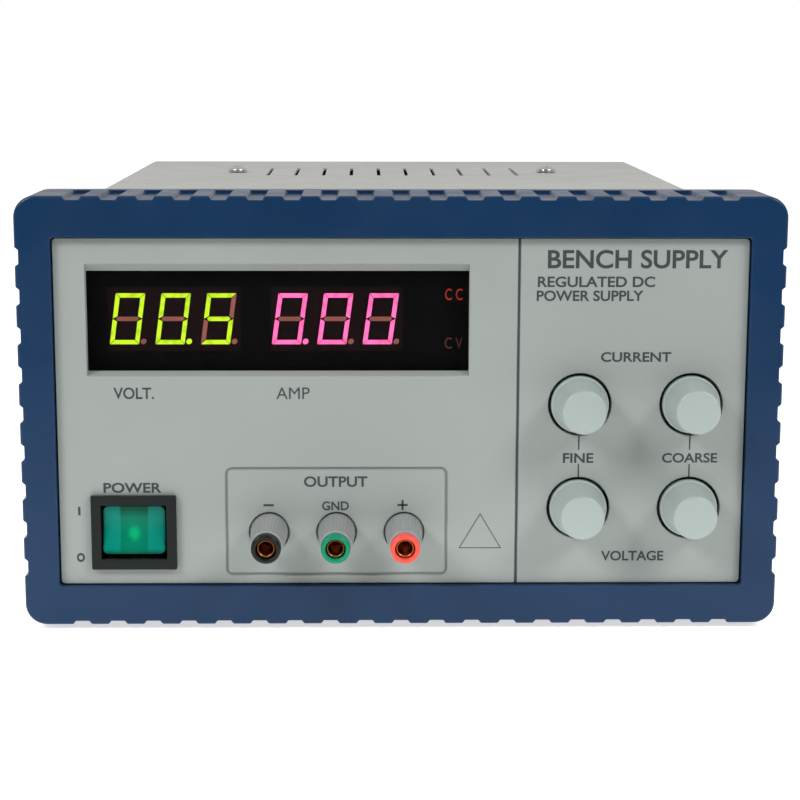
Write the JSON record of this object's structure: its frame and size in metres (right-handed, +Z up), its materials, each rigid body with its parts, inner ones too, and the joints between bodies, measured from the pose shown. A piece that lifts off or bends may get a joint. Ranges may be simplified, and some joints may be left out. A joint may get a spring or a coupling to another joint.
{
  "type": "bench power supply",
  "caption": "Desktop DC power supply in a grey sheet case with a notched blue bumper frame, twin digital meters, setting knobs, binding posts and a lit rocker switch.",
  "frame": {"origin": "on the bench, under the middle of the whole object", "axes": "+Z up, the control panel faces -Y, +X is the operator's right"},
  "size_m": [0.213, 0.3078, 0.123],
  "materials": {
    "bezel_blue": "fine satin moulding",
    "panel_grey": "fine matte moulding with printed lettering",
    "smoked_lens": "clear smoked acrylic",
    "display_dark": "seven-segment modules, lit from inside",
    "switch_black": "fine matte moulding",
    "rocker_green": "translucent moulding, lit from inside",
    "knob_grey": "satin moulding",
    "post_grey": "ribbed satin moulding",
    "zinc_plate": "zinc plated",
    "cap_black": "satin moulding",
    "cap_green": "satin moulding",
    "cap_red": "satin moulding",
    "brass": "turned",
    "case_paint": "fine textured paint",
    "circuit_board": "solder mask",
    "foot_rubber": "moulded rubber",
    "core_steel": "stacked laminations, varnished",
    "winding_tape": "polyester tape over copper",
    "capacitor_sleeve": "shrunk sleeve over an aluminium can",
    "component_black": "epoxy",
    "heat_sink_aluminium": "extruded",
    "fan_black": "moulded",
    "fuse_glass": "glass tube with metal ends",
    "slider_white": "moulded"
  },
  "bodies": {
    "cabinet": {"amp_display": "display_dark", "base_tray": "case_paint", "bridge_rectifier": "component_black", "control_board": "circuit_board", "cover_screw_left": "zinc_plate", "cover_screw_right": "zinc_plate", "display_window": "smoked_lens", "fan_frame": "fan_black", "filter_capacitor_1": "capacitor_sleeve", "filter_capacitor_2": "capacitor_sleeve", "foot_front_left": "foot_rubber", "foot_front_right": "foot_rubber", "foot_rear_left": "foot_rubber", "foot_rear_right": "foot_rubber", "front_bezel": "bezel_blue", "front_panel": "panel_grey", "heat_sink": "heat_sink_aluminium", "main_board": "circuit_board", "meter_board": "circuit_board", "mode_indicator": "display_dark", "post_ground": "brass", "post_negative": "brass", "post_positive": "brass", "potentiometer_current_coarse": "zinc_plate", "potentiometer_current_fine": "zinc_plate", "potentiometer_voltage_coarse": "zinc_plate", "potentiometer_voltage_fine": "zinc_plate", "power_inlet": "switch_black", "power_transistor_1": "component_black", "power_transistor_2": "component_black", "rear_panel": "case_paint", "side_screw_front_left": "zinc_plate", "side_screw_front_right": "zinc_plate", "side_screw_rear_left": "zinc_plate", "side_screw_rear_right": "zinc_plate", "switch_frame": "switch_black", "top_cover": "case_paint", "transformer_core": "core_steel", "transformer_winding": "winding_tape", "volt_display": "display_dark", "voltage_selector": "switch_black"},
    "rocker": {"power_rocker": "rocker_green"},
    "fan_rotor_body": {"fan_rotor": "fan_black"},
    "fuse_carrier": {"fuse_drawer": "switch_black", "fuse": "fuse_glass"},
    "selector": {"selector_slider": "slider_white"},
    "knob_current_fine": {"knob_current_fine": "knob_grey", "shaft_current_fine": "zinc_plate"},
    "knob_current_coarse": {"knob_current_coarse": "knob_grey", "shaft_current_coarse": "zinc_plate"},
    "knob_voltage_fine": {"knob_voltage_fine": "knob_grey", "shaft_voltage_fine": "zinc_plate"},
    "knob_voltage_coarse": {"knob_voltage_coarse": "knob_grey", "shaft_voltage_coarse": "zinc_plate"},
    "cap_negative": {"post_cap_negative": "cap_black"},
    "nut_negative": {"thumb_nut_negative": "post_grey"},
    "cap_ground": {"post_cap_ground": "cap_green"},
    "nut_ground": {"thumb_nut_ground": "post_grey"},
    "cap_positive": {"post_cap_positive": "cap_red"},
    "nut_positive": {"thumb_nut_positive": "post_grey"}
  },
  "joints": [
    {"name": "power_rocker_hinge", "type": "hinge", "parent": "cabinet", "child": "rocker", "pos_m": [-0.0754, -0.12975, 0.0282], "axis": [1, 0, 0], "range_deg": [0, 16]},
    {"name": "current_fine_turn", "type": "hinge", "parent": "cabinet", "child": "knob_current_fine", "pos_m": [0.05, -0.13385, 0.0646], "axis": [0, 1, 0], "range_deg": [-150, 150]},
    {"name": "current_coarse_turn", "type": "hinge", "parent": "cabinet", "child": "knob_current_coarse", "pos_m": [0.0813, -0.13385, 0.0646], "axis": [0, 1, 0], "range_deg": [-150, 150]},
    {"name": "voltage_fine_turn", "type": "hinge", "parent": "cabinet", "child": "knob_voltage_fine", "pos_m": [0.05, -0.13385, 0.0349], "axis": [0, 1, 0], "range_deg": [-150, 150]},
    {"name": "voltage_coarse_turn", "type": "hinge", "parent": "cabinet", "child": "knob_voltage_coarse", "pos_m": [0.0813, -0.13385, 0.0349], "axis": [0, 1, 0], "range_deg": [-150, 150]},
    {"name": "negative_post_travel", "type": "slide", "parent": "cabinet", "child": "cap_negative", "axis": [0, -1, 0], "range_m": [0, 0.004]},
    {"name": "negative_nut_turn", "type": "hinge", "parent": "cap_negative", "child": "nut_negative", "pos_m": [-0.03735, -0.13385, 0.028], "axis": [0, -1, 0], "range_deg": [-10, 1810]},
    {"name": "ground_post_travel", "type": "slide", "parent": "cabinet", "child": "cap_ground", "axis": [0, -1, 0], "range_m": [0, 0.004]},
    {"name": "ground_nut_turn", "type": "hinge", "parent": "cap_ground", "child": "nut_ground", "pos_m": [-0.0183, -0.13385, 0.028], "axis": [0, -1, 0], "range_deg": [-10, 1810]},
    {"name": "positive_post_travel", "type": "slide", "parent": "cabinet", "child": "cap_positive", "axis": [0, -1, 0], "range_m": [0, 0.004]},
    {"name": "positive_nut_turn", "type": "hinge", "parent": "cap_positive", "child": "nut_positive", "pos_m": [0.00075, -0.13385, 0.028], "axis": [0, -1, 0], "range_deg": [-10, 1810]},
    {"name": "fan_spin", "type": "hinge", "parent": "cabinet", "child": "fan_rotor_body", "pos_m": [0, 0.13585, 0.0637], "axis": [0, 1, 0], "continuous": true},
    {"name": "fuse_drawer_slide", "type": "slide", "parent": "cabinet", "child": "fuse_carrier", "axis": [0, 1, 0], "range_m": [0, 0.016]},
    {"name": "selector_slide", "type": "slide", "parent": "cabinet", "child": "selector", "axis": [1, 0, 0], "range_m": [0, 0.0054]}
  ],
  "couplings": [
    {"joint": "negative_nut_turn", "follows": "negative_post_travel", "rad_per_m": 7854},
    {"joint": "ground_nut_turn", "follows": "ground_post_travel", "rad_per_m": 7854},
    {"joint": "positive_nut_turn", "follows": "positive_post_travel", "rad_per_m": 7854}
  ]
}
